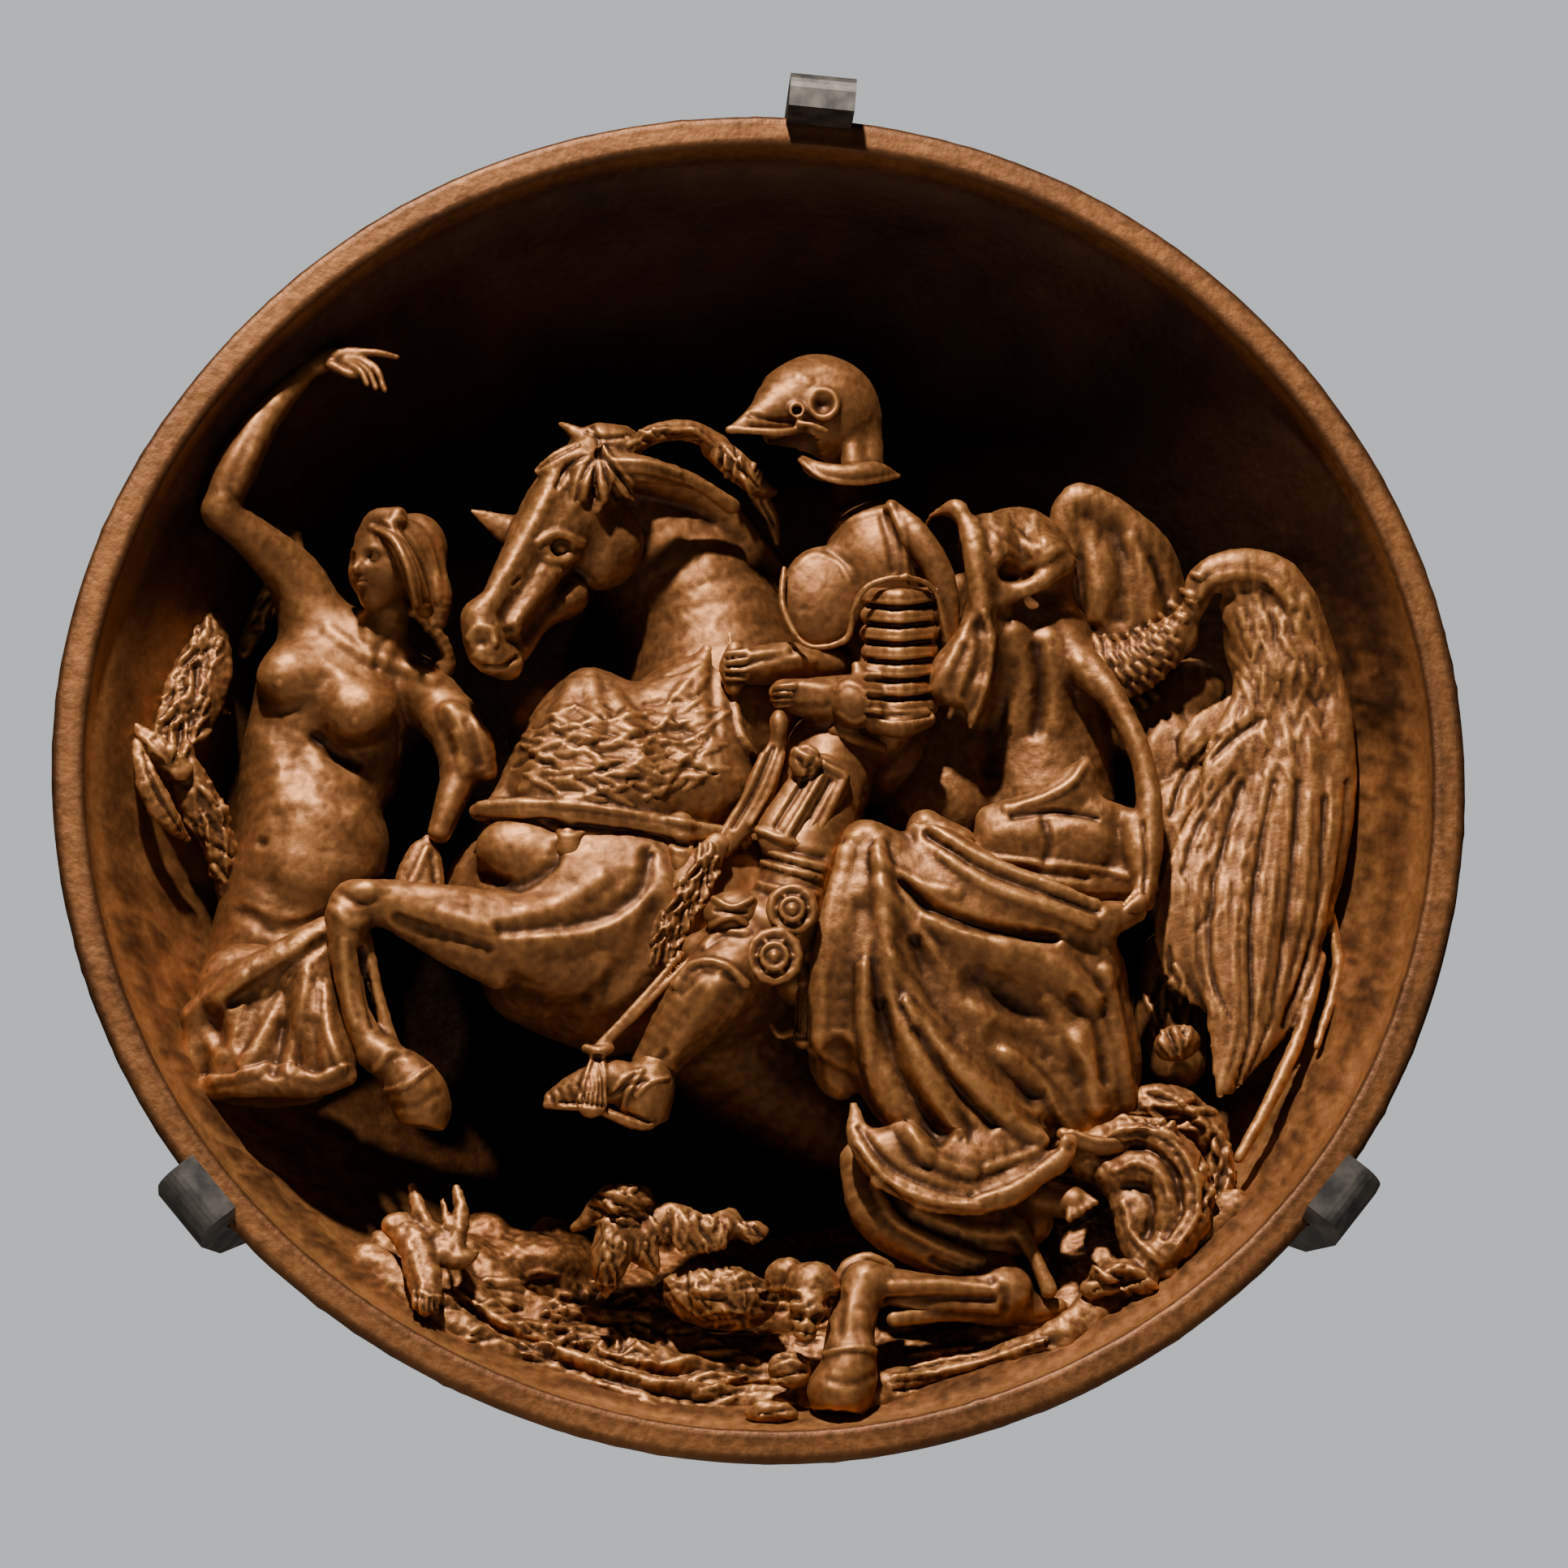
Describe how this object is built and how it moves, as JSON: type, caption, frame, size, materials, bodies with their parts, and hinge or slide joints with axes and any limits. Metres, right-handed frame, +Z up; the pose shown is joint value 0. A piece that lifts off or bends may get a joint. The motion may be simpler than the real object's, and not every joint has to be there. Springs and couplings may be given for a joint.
{
  "type": "relief plaque",
  "caption": "Round cast bronze relief plaque: a deep dish with a rider, a rearing horse, a hooded winged figure and a standing woman, held at the rim by steel clips.",
  "frame": {"origin": "middle of the flat back of the dish, where it rests on the wall", "axes": "+Z up, -Y out of the wall towards the viewer, +X to the viewer's right"},
  "size_m": [0.5242, 0.1283, 0.535],
  "materials": {
    "bronze": "warm brown patina, worn golden on the high places, dark in the hollows",
    "clip_steel": "dark grey, satin"
  },
  "bodies": {
    "root": {"relief_plaque": "bronze", "top_clip": "clip_steel", "lower_left_clip": "clip_steel", "lower_right_clip": "clip_steel"}
  },
  "joints": []
}
